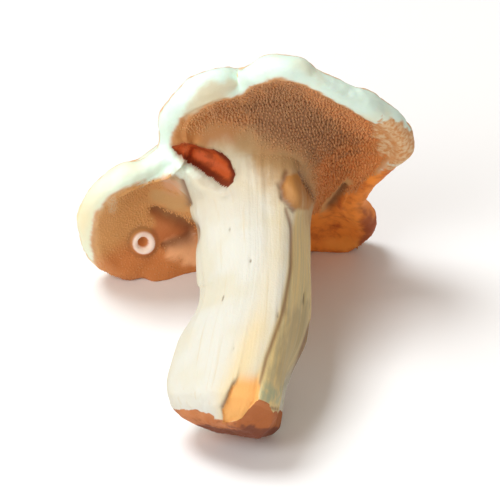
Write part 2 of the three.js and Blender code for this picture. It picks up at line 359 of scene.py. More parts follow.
# The flesh's own detail, which the solid leaves out. "Along" counts the zones of growth: 0 to 1 is the
# foot, then come its bevel, the stem, the underside, the edge, and 5 to 6 the top.
still = (0, 0, 0)
detail = {
    "stemLength": 46,
    "stemGrain": [(1.5, 0.09, 0.34), (8, 0.05, 0.13), (26, 0.16, 0.035)],  # fineness round and up it, height
    "topGrain": [(0.11, 0.5, still), (0.29, 0.22, still), (1.9, 0.05, still)],  # fineness, height, shift
    "edgeGrain": [(0.21, 0.42, (3, 1, 7)), (0.8, 0.16, still)],
    "rootGrain": [(0.9, 1, still), (2.7, 0.5, still)],
    "roots": 0.22,
    "wander": [(0.55, 1, still), (1.7, 0.5, still)],  # how the edges of patches wander
    "facing": (-0.35, 0.1),  # how far a face turns to the front before the marks there reach it
    # each crease is sunk into the skin and darkened along it as painted shade
    "creases": [  # on the front: from and to, across and up it, width at either end, depth
        ((-16.7, -7.5), (-10.3, -10.5), (0.8, 1.2), 1.1),
        ((-15.2, -13.1), (-10.3, -11.4), (0.5, 0.8), 0.6),
        ((15.9, -3.4), (13.7, -6.9), (0.5, 0.8), 0.9),
        ((5.9, -0.8), (4.8, -2.9), (0.35, 0.5), 0.4),
        ((4.8, -2.9), (5.3, -5.0), (0.5, 0.55), 0.5),
        ((5.3, -5.0), (7.3, -7.4), (0.55, 0.4), 0.4),
        ((10.2, -26.6), (7.4, -35.4), (0.4, 0.5), 0.25),
        ((0.2, -40.1), (4.6, -41.1), (0.25, 0.3), 0.15),
        ((5.9, -7.2), (6.9, -10.2), (0.35, 0.4), 0.12),
        ((6.9, -10.2), (6.7, -17.3), (0.4, 0.35), 0.1),
        ((6.7, -17.3), (5.3, -24.7), (0.35, 0.4), 0.1),
        ((5.3, -24.7), (2.5, -32.3), (0.4, 0.35), 0.1),
        ((2.5, -32.3), (1.2, -37.0), (0.35, 0.3), 0.1),
        ((8.2, -0.9), (10.5, -5.4), (0.35, 0.45), 0.35),
        ((-12.0, -2.5), (-10.8, -6.3), (0.4, 0.5), 0.4),
        ((-2.9, -36.4), (-4.9, -40.6), (0.3, 0.45), 0.25),
    ],
    "swells": [  # as the creases, but with a move in the cap's frame
        ((6.3, -2.6), (8.7, -5.6), (1.5, 1.7), (0.2, 0.9, -1.0)),
        ((-13.3, 1.5), (-4.9, -4.0), (0.9, 1.1), (-0.1, 0.4, -0.9)),
        ((-8.4, 4.2), (-3.0, -0.4), (0.9, 1.0), (0.1, 0.3, -0.7)),
        ((-14.6, -13.7), (-9.9, -13.3), (1.4, 1.7), (0, 0.3, -1.0)),
        ((-13.2, -41.0), (-11.4, -42.6), (1.5, 1.6), (-0.9, 0, -0.4)),
        ((-10.5, 14.2), (-5.0, 16.0), (2.2, 2.4), (0, 1.7, 0)),
        ((-12.4, -0.4), (-9.2, -3.6), (1.4, 1.6), (0, 1.4, -1.05)),
        ((11.5, 16.6), (16.5, 14.0), (1.8, 2.0), (-0.3, -1.1, 0)),
        ((-16.0, -18.2), (-8.6, -15.6), (1.8, 3.6), (0, -2.4, -2.6)),
        ((-19.0, 2.4), (-15.8, 4.6), (1.9, 1.7), (0, -1.2, 0)),
    ],
    "web": {  # smoothed between the lobe and the stem
        "middle": (-12.6, -0.2), "radius": 4.2, "facing": -0.2, "passes": 40, "factor": 0.5,
    },
    "pocket": {
        "depth": (0.4, -2.4, 2.0), "shallow": 0.3, "deepens": (-14, -8.5), "soft": 0.7,
        "shore": (0.3, 1.1), "shoreWander": 0.3,  # how far in its inmost colour starts
        "lit": ((-12.5, 3.4), (-8.0, 3.4)), "litWidth": 1.6, "litBy": 0.8,
        "bareLift": (0, 0.9), "bare": (-1.3, -0.5),
    },
    "scrape": {"depth": (0, -0.9, 0.5), "sinks": (33.4, 38.6), "overCut": (-42.5, -41)},
    "ring": {
        "middle": (-18.8, -12.8), "radius": 1.45, "width": 0.6, "height": 0.8, "depth": 1.2, "hole": 0.6,
        "groove": 2.5, "grooveWidth": 0.35, "grooveShade": 0.6, "bare": (2.3, 2.8),
    },
    "scarDepth": 0.3, "scarReach": 4,
    "cutGrain": 1.4, "cutHeight": 0.14, "cutFade": 0.12,
    "cuts": [  # the knife's flats round the foot: side it is on, lean and height up the stem
        (178, 74, 1.2), (136, 66, 2.3), (106, 60, 2.8), (38, 56, 4.0), (8, 50, 4.4),
        (-28, 58, 3.6), (-75, 64, 3.4), (-125, 60, 3.2),
    ],
    "nicks": [  # small scars on the stem: angle, share of the way up, length and width
        (118, 0.70, 0.8, 0.35), (123, 0.42, 0.9, 0.3), (101, 0.225, 0.9, 0.3), (96, 0.55, 0.6, 0.25),
        (66, 0.36, 0.8, 0.3), (20, 0.50, 1.5, 0.35), (-70, 0.40, 1.4, 0.4), (170, 0.30, 1.2, 0.35),
        (-140, 0.62, 1.2, 0.4),
    ],
    "crest": [87, 71, 59, 51, 51],  # the side the stem's ridge is on, foot to neck
    "marginStarts": [  # round the cap
        4.22, 4.24, 4.9, 5.0, 4.9, 4.6, 4.16, 4.14, 4.14, 4.22, 4.14, 4.25, 4.22,
    ],
    "marginWander": 0.05,
    "sprouting": {"zones": (2.62, 3.02), "angles": (70, 125), "wander": 0.05},  # where the underside starts
    "hidden": {"right": -9.6, "up": -5},  # the underside behind the stem isn't pale
    "marks": {  # how the colours spread: along the growth, over the cap, or round from the ridge
        "flare": 0.3, "teeth": 0.25, "under": 0.6, "underSoft": 0.05, "marginSoft": (-0.02, 0.04),
        "brinkShade": 0.045, "creamyAngle": -168, "creamyWidth": 22, "goldSlope": 0.35, "gold": (-2, 12),
        "siennaSlope": 0.5, "sienna": (2, 14), "siennaLow": (14, 20), "facetShadeFrom": (4, 11),
        "facetShadeTo": (70, 110), "cordAngle": 8, "cordWidth": 13, "cordThins": 0.6,
        "turned": (0.05, 0.3), "knobTurned": (0.0, 0.2),
    },
    "bareAt": {  # how much of each patch keeps the teeth off
        "rust": (0.05, 0.4), "buff": (0.05, 0.4), "cream": (0.1, 0.4), "amber": (0.3, 0.7),
        "bruise": (0.3, 0.7),
    },
}
spans = {  # where along the growth each thing comes in or goes out
    "stemIn": (1.2, 1.9), "stemOut": (2.95, 3.15), "topIn": (4.7, 5.15), "edgeIn": (3.9, 4.2),
    "edgeOut": (5.0, 5.3), "rootsOut": (1.0, 2.02), "webTanIn": (2.45, 2.85), "pocketIn": (2.4, 2.7),
    "pocketOut": (4.3, 4.5), "cutOut": (1.0, 1.3), "brinkShadeIn": (3.5, 4), "creamyIn": (4.0, 4.4),
    "creamyOut": (4.8, 5), "paleIn": (2.7, 3.4), "marginOut": (5.0, 5.35), "crownIn": (4.9, 5.5),
    "facetShadeOut": (2.8, 3.0), "neckShadeIn": (2.4, 3.0), "neckShadeOut": (3.2, 3.4), "ridgeHighlightThins": (2.12, 2.3),
    "ridgeHighlightOut": (2.8, 2.95),
}
zones = {  # where along the growth each thing can be at all
    "foot": (-0.1, 2.6), "darkerPatch": (1.2, 2.95), "neck": (2.4, 6.0), "cap": (3.0, 6.0), "web": (2.6, 4.9),
    "ring": (2.4, 4.5), "scars": (1.8, 3), "cuts": (-1, 2.5), "shore": (2.7, 4.4), "turned": (4.2, 5.6),
    "margin": (3.8, 7), "top": (4.4, 7), "behindStem": (3.15, 7),
}
patches = {  # each its zone, how soft its edge is, and its outline across and up the front
    "pocket": ("neck", 0.25, [
        (-13.7, 3.6), (-11.4, 4.0), (-9.0, 3.4), (-6.7, 3.1), (-5.2, 2.5), (-4.0, 1.1), (-3.3, -1.0),
        (-3.4, -2.5), (-4.3, -3.1), (-5.5, -2.5), (-7.9, -1.0), (-10.2, 0.5), (-12.3, 2.2),
    ]),
    "pale": ("neck", 0.7, [
        (-14.6, 4.9), (-14.5, 4.0), (-13.5, 3.3), (-10.2, 0.5), (-7.9, -1.0), (-5.5, -2.6), (-3.7, -3.4),
        (0.8, -4.2), (6.5, -9.5), (0.8, -20.9), (-9.0, -20.9), (-9.0, -12.2), (-10.2, -7.5), (-10.5, -5.1),
        (-11.7, -2.5), (-13.2, -1.3), (-14.1, -1.6), (-16.1, -2.0), (-18.2, -2.8), (-22.0, -3.4),
        (-24.3, -4.4), (-26.0, -7.2), (-33.4, -7.2), (-33.4, 1.1), (-18.2, 4.9),
    ]),
    "blush": ("cap", 0.7, [
        (-15.2, -1.6), (-14.1, -1.9), (-12.9, -2.2), (-12.2, -3.2), (-12.0, -4.6), (-12.9, -4.6),
        (-14.4, -4.0), (-15.4, -2.9),
    ]),
    "buff": ("cap", 0.7, [
        (-17.5, -3.6), (-14.4, -4.4), (-11.8, -4.6), (-10.4, -7.8), (-14.4, -7.2), (-17.3, -6.0),
    ]),
    "rust": ("cap", 0.7, [
        (-16.9, -7.8), (-10.6, -10.6), (-10.3, -11.4), (-13.7, -12.0), (-15.2, -12.9), (-16.9, -11.8),
    ]),
    # a peach tone on the left lobe, lightened as a painted highlight on its plane facing up and left
    "litPeach": ("cap", 0.7, [
        (-14.8, -12.6), (-10.3, -11.6), (-8.0, -12.0), (-8.0, -13.5), (-12.2, -13.9), (-14.6, -14.3),
    ]),
    "amber": ("cap", 0.7, [
        (9.9, -8.0), (12.9, -6.5), (15.6, -4.6), (18.2, -4.0), (20.5, -1.6), (23.6, 0.2), (35, 0.8),
        (35, -24.7), (9.9, -24.7),
    ]),
    "bruise": ("cap", 1.2, [
        (21.3, 7.6), (23.6, 8.6), (26.6, 6.6), (30, 3.4), (30, 0), (23.4, 0.2), (22.2, 3.0), (21.0, 5.7),
    ]),
    "redEdge": ("cap", 0.7, [
        (18.5, -6.3), (20.3, -7.4), (22.0, -9.9), (21.6, -12.7), (19, -14.6), (17.9, -13.4), (19.2, -11),
        (19, -8.7),
    ]),
    "brightEdge": ("cap", 0.6, [
        (13.0, -12.6), (16, -12.0), (18.6, -12.3), (18.2, -13.4), (16, -14.1), (13.0, -14.1),
    ]),
    "fold": ("cap", 0.4, [(16.4, -1.9), (17.1, -2.6), (13.6, -7.2), (11.7, -8.0), (12.1, -6.4)]),
    # painted highlight: a lighter brown band under the cap's right edge
    "glow": ("cap", 1.2, [
        (9.1, 13.7), (14.1, 11.0), (20.1, 8.4), (22.0, 5.7), (22.8, 3.4), (19.8, 4.9), (16.0, 6.8),
        (12.2, 9.5), (9.1, 11.8),
    ]),
    "knob": ("neck", 0.25, [
        (4.9, -2.9), (5.8, -1.3), (7.7, -1.2), (9.3, -3.0), (10.3, -5.4), (9.7, -7.3), (7.4, -7.2),
        (5.4, -5.0),
    ]),
    "scraped": ("foot", 0.25, [
        (-1.5, -33.2), (1.9, -33.2), (1.2, -36.2), (1.0, -39.3), (-1.6, -42.9), (-4.9, -43.2),
        (-4.9, -40.9), (-2.7, -36.2),
    ]),
    "russet": ("foot", 0.3, [
        (-2.0, -42.3), (0.4, -40.8), (2.0, -41.3), (5.2, -41.6), (5.9, -42.8), (5.2, -45.0), (-3.0, -45.8),
    ]),
    "grey": ("foot", 0.7, [(1.4, -36.9), (5.7, -37.0), (5.7, -40.2), (0.6, -40.0)]),
    "crescent": ("foot", 0.3, [
        (-14.2, -40.3), (-11.4, -40.9), (-9.1, -41.0), (-6.5, -42.0), (-5.9, -43.4), (-7.2, -45.4),
        (-10.9, -43.9), (-12.9, -42.2),
    ]),
    # painted shade: darker brown deep under the cap, by the stem
    "dusk": ("cap", 3.0, [
        (-2.3, 9.5), (2.7, 13.7), (10.3, 14.1), (16.7, 9.5), (19.0, 4.9), (14.1, 1.1), (6.5, 1.1),
        (0.8, 3.4),
    ]),
    "cream": ("cap", 0.5, [
        (-11.9, 8.6), (-10.2, 11.3), (-7.3, 13.8), (-4.9, 13.8), (-2.4, 14.5), (-2.2, 13.6), (-4.8, 11.7),
        (-8.2, 10.1), (-11.3, 8.2),
    ]),
    "corner": ("neck", 1.4, [
        (-13.4, 4.1), (-12.6, 8.0), (-10.8, 8.4), (-7.4, 9.8), (-3.4, 9.6), (-2.0, 6.2), (-2.8, 3.2),
        (-4.6, 2.2), (-6.6, 3.2), (-9.0, 3.6),
    ]),
    # a greyer tan on the stem's top, below the web and the pocket
    "veil": ("neck", 1.5, [
        (-12.5, -0.6), (-10.6, -0.4), (-4.3, -3.6), (-1.8, -2.7), (1.5, -4.5), (2.5, -9.5), (-4, -10.5),
        (-9.6, -9.5), (-10.6, -6.0), (-11.5, -3.2),
    ]),
    # a darker grey-brown patch low on the stem's right side
    "darkerPatch": ("darkerPatch", 1.5, [
        (6.3, -25), (9.5, -23), (10.6, -28), (9.0, -36), (4.5, -38), (3.2, -35), (4.9, -30),
    ]),
    "scuff": ("cap", 0.3, [(-24.7, -5.3), (-23.4, -4.9), (-22.9, -6.8), (-23.6, -8.2), (-24.7, -7.6)]),
    # painted shade: the foot's lowest edge, facing the floor, darker brown
    "base": ("foot", 0.7, [
        (-13, -42.9), (-9, -43.7), (-4, -44.2), (1, -44.5), (4, -44.2), (8, -43.2), (9, -52), (-13, -52),
    ]),
}


def after(along, name):  # 0 before a span and 1 after it
    return ease(along, *spans[name])


def inZone(along, name):
    return zones[name][0] < along < zones[name][1]


def during(along, name):  # 1 between the span where a thing comes in and the one where it goes out
    return after(along, name + "In") * (1 - after(along, name + "Out"))


def fromLine(spot, start, end):  # how far off a line, and how far along it
    edge = end - start
    share = clamp((spot - start).dot(edge) / edge.length_squared)
    return (spot - start - edge * share).length, share


def insideOf(name, spot):  # how far inside a patch, in millimetres, less than nothing outside
    outline = patches[name][2]
    nearest, inside = math.inf, False
    x, y = spot
    for start, end in zip(outline, outline[1:] + outline[:1]):
        start, end = Vector(start), Vector(end)
        edge = end - start
        nearest = min(nearest, fromLine(spot, start, end)[0])
        if (start.y > y) != (end.y > y) and x < edge.x * (y - start.y) / edge.y + start.x:
            inside = not inside
    return nearest if inside else -nearest


def footPlanes():  # each cut as a point on it and its way out of the flesh
    middle, side, front, axis = stemFrame(0)
    planes = []
    for angle, lean, height in detail["cuts"]:
        angle, lean = math.radians(angle), math.radians(lean)
        outward = side * math.cos(angle) + front * math.sin(angle)
        skin = stemPoint(angle, height / stemCurve.lengths[-1], growth["stemRadii"][0])
        planes.append((skin + shift, outward * math.cos(lean) - axis * math.sin(lean)))
    return planes


def uneven(spot, layers):  # noise in layers, each with its fineness, height and shift
    return sum(noise.noise(spot * fine + Vector(moved)) * height for fine, height, moved in layers)


def roughness(place, along, around):  # how far a point of the skin stands out, in millimetres
    climb = (along - 2) * detail["stemLength"]
    spoke = Vector((around.x, around.y, 0)).normalized()
    stem = sum(
        noise.noise(spoke * across + Vector((0, 0, climb * up))) * height
        for across, up, height in detail["stemGrain"]
    )
    top, edge = (uneven(place, detail[name]) for name in ("topGrain", "edgeGrain"))
    roots = (1 - after(along, "rootsOut")) * detail["roots"] * uneven(place, detail["rootGrain"])
    return during(along, "stem") * stem + after(along, "topIn") * top + during(along, "edge") * edge + roots


def keepMask(piece, name, values):
    piece.data.attributes.new(name, "FLOAT", "POINT").data.foreach_set("value", values)


frontTilt = math.radians(35)  # the front is what shows from this far above the floor
frontUp = Vector((0, math.sin(frontTilt), math.cos(frontTilt)))
frontOut = Vector((0, -math.cos(frontTilt), math.sin(frontTilt)))


def onFront(spot):
    return Vector((spot.x - capMiddle.x, (spot - capMiddle).dot(frontUp)))


def marked(name, spot, wobble, soft):  # how much of a patch there is, with a wandering edge
    return ease(insideOf(name, spot) + wobble * soft, -soft, soft)


def smoothWeb(piece):
    web = detail["web"]
    group = piece.vertex_groups.new(name="web")
    for vertex, item in zip(piece.data.vertices, piece.data.attributes["along"].data):
        away = (onFront(vertex.co) - Vector(web["middle"])).length
        if inZone(item.value, "web") and vertex.normal.dot(frontOut) > web["facing"]:
            group.add([vertex.index], bump(away, web["radius"]), "REPLACE")
    eased = piece.modifiers.new("eased", "SMOOTH")
    eased.factor, eased.iterations, eased.vertex_group = web["factor"], web["passes"], group.name
    onlySelect(piece)
    bpy.ops.object.modifier_apply(modifier="eased")


def placeScars():  # each as its place, the stem's way up there, length and width
    scars = []
    for angle, climbed, length, width in detail["nicks"]:
        skin = stemPoint(math.radians(angle), climbed, readAlong(growth["stemRadii"], climbed))
        scars.append((skin + shift, stemCurve.heading(climbed), length, width))
    return scars


smoothWeb(flesh)
mesh = flesh.data
alongs = [item.value for item in mesh.attributes["along"].data]
arounds = [item.vector.copy() for item in mesh.attributes["around"].data]
outs = [vertex.normal.copy() for vertex in mesh.vertices]
planes, scars = footPlanes(), placeScars()
creases = [(Vector(start), Vector(end), *rest) for start, end, *rest in detail["creases"]]
swells = [
    (Vector(start), Vector(end), radii, capDirection(*move)) for start, end, radii, move in detail["swells"]
]
ring, ringMiddle = detail["ring"], Vector(detail["ring"]["middle"])
masks = {name: [] for name in (
    "flare", "under", "toothed", "gold", "sienna", "brinkShade", "creamy", "margin", "crown", "cut", "callus",
    "scar", "facetShade", "ridgeHighlight", "neck", "creaseShade", "inmost", *patches,
)}


def markPatches(here, seen, along, out, wobble, facing):
    for name, (zone, soft, outline) in patches.items():
        if inZone(along, zone):
            here[name] = marked(name, seen, wobble, soft) * facing
    here["veil"] *= after(along, "webTanIn")
    here["knob"] *= ease(out.dot(frontOut), *detail["marks"]["knobTurned"])
    here["pocket"] *= during(along, "pocket")


def sinkPocket(here, seen, wobble):
    pocket = detail["pocket"]
    # the pocket's inmost colour reaches up to its lit upper edge; the rest of its rim keeps painted shade
    lit = pocket["litBy"] * bump(fromLine(seen, *map(Vector, pocket["lit"]))[0], pocket["litWidth"])
    here["inmost"] = ease(insideOf("pocket", seen) + wobble * pocket["shoreWander"] + lit, *pocket["shore"])
    deep = lerp(pocket["shallow"], 1, ease(seen.x, *pocket["deepens"]))
    return capDirection(*pocket["depth"]) * (marked("pocket", seen, 0, pocket["soft"]) * deep)


def raiseRing(here, seen, facing):  # how far the ring and its hole stand out
    away = (seen - ringMiddle).length
    here["callus"] = bump(away - ring["radius"], ring["width"]) * facing
    groove = ring["grooveShade"] * bump(away - ring["groove"], ring["grooveWidth"]) * facing
    here["creaseShade"] = max(here["creaseShade"], groove)
    hole = bump(away, ring["radius"] * ring["hole"]) * ring["depth"] * facing
    return here["callus"] * ring["height"] - hole


def scarSkin(here, place):
    for skin, heading, length, width in scars:
        away = place - skin
        if away.length < detail["scarReach"]:
            lengthways = away.dot(heading)
            scar = bump((away - heading * lengthways).length, width) * bump(lengthways, length)
            here["scar"] = max(here["scar"], scar)


def cutFoot(here, place, seen, along):  # where the knife leaves a point of the foot
    for point, way in planes:
        depth = (place - point).dot(way)
        if depth > 0:
            grain = detail["cutHeight"] * noise.noise(place * detail["cutGrain"])
            place = place - way * (depth - grain * min(depth, 1))
            here["cut"] = max(here["cut"], clamp(depth / detail["cutFade"]))
    here["cut"] = max(here["cut"], 1 - after(along, "cutOut"), here["crescent"], here["russet"], here["base"])
    here["cut"] *= 1 - here["scraped"] * ease(seen.y, *detail["scrape"]["overCut"])
    here["scraped"] *= ease(-seen.y, *detail["scrape"]["sinks"])
    return place


def bareness(here, seen, along):  # 1 where no tooth grows
    nearPocket = 0.0
    if inZone(along, "shore"):
        lifted = seen - Vector(detail["pocket"]["bareLift"])
        nearPocket = ease(insideOf("pocket", lifted), *detail["pocket"]["bare"])
    return max(
        here["pale"], here["blush"], here["litPeach"], here["fold"], nearPocket,
        1 - ease((seen - ringMiddle).length, *ring["bare"]),
        *(ease(here[name], *levels) for name, levels in detail["bareAt"].items()),
    )


def markSkin(here, seen, fromCap, along, angle, out, wobble):  # which colours and teeth go where
    marks, growing, hidden = detail["marks"], detail["sprouting"], detail["hidden"]
    right, up = fromCap.x, fromCap.dot(capUp)
    rimAngle = math.degrees(math.atan2(up, right))
    start = 4
    if inZone(along, "margin"):
        start = readAlong(detail["marginStarts"], (rimAngle + 180) / 360)
        start += detail["marginWander"] * wobble
    behind = inZone(along, "behindStem") and seen.x > hidden["right"] and seen.y < hidden["up"]
    if inZone(along, "top") or behind:
        here["pale"] = 0.0
    pale, amber = here["pale"], here["amber"]
    plain = 1 - max(pale, here["pocket"])
    sprouting = lerp(*growing["zones"], ease(angle, *growing["angles"])) + growing["wander"] * wobble
    inward = 1 - ease(along, start - marks["underSoft"], start)
    here["flare"] = ease(along, sprouting, sprouting + marks["flare"]) * plain
    low, high = sprouting + marks["flare"], sprouting + marks["under"]
    here["under"] = ease(along, low, high) * inward * plain
    here["toothed"] = ease(along, sprouting + marks["teeth"], high) * inward
    here["toothed"] *= 1 - bareness(here, seen, along)
    # painted shade: a thin darker line where the white margin meets the teeth
    here["brinkShade"] = bump(along - start, marks["brinkShade"]) * after(along, "brinkShadeIn") * (1 - pale)
    here["brinkShade"] *= 1 - amber
    here["brinkShade"] *= 1 - here["cream"]
    here["creamy"] = bump(turnTo(marks["creamyAngle"], rimAngle), marks["creamyWidth"])
    here["creamy"] *= after(along, "creamyIn")
    here["creamy"] *= 1 - after(along, "creamyOut")
    here["gold"] = ease(-right - marks["goldSlope"] * up, *marks["gold"])
    rightward = ease(right - marks["siennaSlope"] * up, *marks["sienna"])
    here["sienna"] = max(rightward, ease(-up, *marks["siennaLow"]))
    # painted shade: faces turned from the front take the top's apricot tone instead of the white margin, a
    # darker outline round the rim
    turned = 1 - ease(out.dot(frontOut), *marks["turned"]) if inZone(along, "turned") else 0.0
    low, high = marks["marginSoft"]
    rimmed = max(ease(along, start + low, start + high), pale * after(along, "paleIn"))
    here["margin"] = rimmed * (1 - after(along, "marginOut")) * (1 - amber) * (1 - turned)
    here["crown"] = max(after(along, "crownIn"), turned)
    lee = turnTo(readAlong(detail["crest"], clamp(along - 2)), angle)  # degrees round from the stem's ridge
    # painted shade: the stem's right facet, round from the ridge, takes a darker yellowish tan
    here["facetShade"] = ease(-lee, *marks["facetShadeFrom"]) * (1 - ease(-lee, *marks["facetShadeTo"]))
    here["facetShade"] *= 1 - after(along, "facetShadeOut")
    # painted shade: the stem's top, under the cap, turns a darker tan
    here["neck"] = after(along, "neckShadeIn") * (1 - pale) * (1 - after(along, "neckShadeOut"))
    # painted highlight: a cream band just beside the stem's ridge, thinner towards the cap
    here["ridgeHighlight"] = bump(lee - marks["cordAngle"], marks["cordWidth"])
    here["ridgeHighlight"] *= 1 - marks["cordThins"] * after(along, "ridgeHighlightThins")
    here["ridgeHighlight"] *= 1 - after(along, "ridgeHighlightOut")


for i, vertex in enumerate(mesh.vertices):
    along, around, out = alongs[i], arounds[i], outs[i]
    angle = math.degrees(math.atan2(around.y, around.x))
    seen = onFront(vertex.co)
    facing = ease(out.dot(frontOut), *detail["facing"])
    place = vertex.co + out * roughness(vertex.co, along, around)
    wobble = uneven(place, detail["wander"])
    here = dict.fromkeys(masks, 0.0)
    offset = Vector()
    for start, end, radii, move in swells:
        away, share = fromLine(seen, start, end)
        offset += move * bump(away, lerp(*radii, share))
    if facing:
        # each crease sinks the skin and records painted shade along it
        for start, end, radii, depth in creases:
            away, share = fromLine(seen, start, end)
            sunken = bump(away, lerp(*radii, share)) * facing
            offset -= out * sunken * depth
            here["creaseShade"] = max(here["creaseShade"], sunken)
        markPatches(here, seen, along, out, wobble, facing)
        if here["pocket"]:
            offset += sinkPocket(here, seen, wobble)
        if here["scraped"]:
            scrape = detail["scrape"]
            offset += capDirection(*scrape["depth"]) * here["scraped"] * ease(-seen.y, *scrape["sinks"])
    if inZone(along, "ring"):
        offset += out * raiseRing(here, seen, facing)
    place += offset
    if inZone(along, "scars"):
        scarSkin(here, place)
        place -= out * here["scar"] * detail["scarDepth"]
    if inZone(along, "cuts"):
        place = cutFoot(here, place, seen, along)
    vertex.co = Vector((place.x, place.y, max(place.z, 0))) * mm
    markSkin(here, seen, place - offset - capMiddle, along, angle, out, wobble)
    for name, value in here.items():
        masks[name].append(value)
for name, values in masks.items():
    keepMask(flesh, name, values)
bpy.ops.object.shade_smooth()
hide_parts("mushroom")
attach(flesh, "root")
print("flesh shaped")


# The teeth, one modelled and the rest copies of it.
teeth = {
    "sides": 5, "widths": (0.85, 0.45), "girth": 0.27, "girths": (0.85, 1.2), "youngGirth": 0.6, "seed": 11,
    "spacing": (0.42, 0.47, 0.43),  # at the neck, midway and at the edge
    "length": (0.4, 0.78, 0.45), "lobes": 0.4,  # and how much of it on the left
    "splay": 0.35, "stray": 0.09, "bend": 0.10, "uneven": 0.22, "patchy": 0.25, "patchSize": 0.3, "sunk": 0.4,
    "perFace": 2, "least": 0.06,  # tries on each face, and how grown a tooth must be to stand
    "taper": 0.7, "grown": (0.1, 0.7), "young": (0.15, 0.9),  # how length, girth and colour follow growth
    "clearance": 0.2,
}
toothLooks = ("gold", "sienna", "dusk", "glow")  # what a tooth takes over from the flesh under it


def modelTooth():  # one tooth a unit long and a unit across its foot, standing on the origin
    bpy.ops.mesh.primitive_circle_add(vertices=teeth["sides"], radius=1, fill_type="NGON")
    tooth = bpy.context.object
    bpy.ops.object.mode_set(mode="EDIT")
    bpy.ops.mesh.select_all(action="SELECT")
    bpy.ops.mesh.flip_normals()
    for width in teeth["widths"]:
        bpy.ops.mesh.extrude_region_move(TRANSFORM_OT_translate={"value": (0, 0, 1 / len(teeth["widths"]))})
        bpy.ops.transform.resize(value=(width, width, 1))
    bpy.ops.mesh.merge(type="CENTER")
    bpy.ops.mesh.select_all(action="SELECT")
    bpy.ops.mesh.normals_make_consistent(inside=False)
    bpy.ops.object.mode_set(mode="OBJECT")
    return tooth


def toothSites(piece):  # each a place, its way out, share of the way to the edge, growth and looks
    draw = random.Random(teeth["seed"])
    sites, vertices = [], piece.data.vertices
    for polygon in piece.data.polygons:
        corners = polygon.vertices
        along = sum(alongs[corner] for corner in corners) / len(corners)
        grown = min(masks["toothed"][corner] for corner in corners)
        if grown < teeth["least"]:
            continue
        ends = [vertices[corner].co for corner in corners]
        looks = [masks[name][corners[0]] for name in toothLooks]
        for _ in range(teeth["perFace"]):
            a, b = draw.random(), draw.random()
            place = ends[0].lerp(ends[1], a).lerp(ends[3].lerp(ends[2], a), b) / mm
            sites.append((place, polygon.normal.copy(), clamp(along - 3), grown, looks))
    draw.shuffle(sites)
    return sites


def thinOut(sites):  # leaves each tooth its own room
    kept, cells = [], {}
    for site in sites:
        place, room = site[0], readAlong(teeth["spacing"], site[2])
        x, y, z = (math.floor(value) for value in place)
        near = (cells.get((x + i, y + j, z + k), ()) for i, j, k in itertools.product((-1, 0, 1), repeat=3))
        if all((place - other).length > room for group in near for other in group):
            cells.setdefault((x, y, z), []).append(place)
            kept.append(site)
    return kept


def plantTeeth():
    draw = random.Random(teeth["seed"] + 1)
    tooth = modelTooth()
    shape = [vertex.co.copy() for vertex in tooth.data.vertices]
    sides = inOrder(tooth.data.polygons)
    bpy.data.objects.remove(tooth)
    vertices, faces = [], []
    looks = {name: [] for name in ("young", "shade", *toothLooks)}
    for place, out, share, grown, fleshLooks in thinOut(toothSites(flesh)):
        length = readAlong(teeth["length"], share) * lerp(1, teeth["lobes"], fleshLooks[0])
        length *= 1 + draw.uniform(-1, 1) * teeth["uneven"]
        length *= grown ** teeth["taper"]
        length *= 1 + teeth["patchy"] * noise.noise(place * teeth["patchSize"])
        girth = teeth["girth"] * draw.uniform(*teeth["girths"])
        girth *= lerp(teeth["youngGirth"], 1, ease(grown, *teeth["grown"]))
        stray = Vector([draw.gauss(0, teeth["stray"]) for _ in range(3)])
        aim = (out * teeth["splay"] - capAxis + stray).normalized()
        lean = Vector([draw.gauss(0, 1) for _ in range(3)]).cross(aim) * teeth["bend"] * length
        across = aim.orthogonal().normalized()
        other = aim.cross(across)
        turn, shade = draw.uniform(0, math.pi), draw.random()
        if (place + aim * length).z < teeth["clearance"]:
            continue
        first, young = len(vertices), 1 - ease(grown, *teeth["young"])
        for spot in shape:
            x = math.cos(turn) * spot.x - math.sin(turn) * spot.y
            y = math.sin(turn) * spot.x + math.cos(turn) * spot.y
            reach = spot.z * (length + teeth["sunk"]) - teeth["sunk"]
            point = place + (across * x + other * y) * girth + aim * reach + lean * spot.z ** 2
            vertices.append(point * mm)
            for name, value in zip(looks, (young, shade, *fleshLooks)):
                looks[name].append(value)
        faces += [tuple(first + corner for corner in side) for side in sides]
    mesh = bpy.data.meshes.new("mushroomTeeth")
    mesh.from_pydata(vertices, [], faces)
    mesh.shade_smooth()
    piece = bpy.data.objects.new("mushroomTeeth", mesh)
    bpy.context.scene.collection.objects.link(piece)
    for name, values in looks.items():
        keepMask(piece, name, values)
    print(len(vertices) // len(shape), "teeth")
    return piece


brush = plantTeeth()
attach(brush, "root")
print("teeth planted", sum(len(side.vertices) - 2 for side in brush.data.polygons), "triangles")


def plug(socket, value):  # a link, a colour or a number into a socket
    if isinstance(value, Wire):
        socket.id_data.links.new(value.socket, socket)
    elif isinstance(value, (tuple, list)) and len(socket.default_value) == 4 and len(value) == 3:
        socket.default_value = (*value, 1)
    else:
        socket.default_value = value


class Wire:  # an output socket that adds its own Math nodes
    def __init__(self, socket):
        self.socket = socket

    def math(self, operation, other):
        node = self.socket.id_data.nodes.new("ShaderNodeMath")
        node.operation = operation
        plug(node.inputs[0], self)
        plug(node.inputs[1], other)
        return Wire(node.outputs[0])

    def __add__(self, other):
        return self.math("ADD", other)

    def __mul__(self, other):
        return self.math("MULTIPLY", other)

    __radd__, __rmul__ = __add__, __mul__


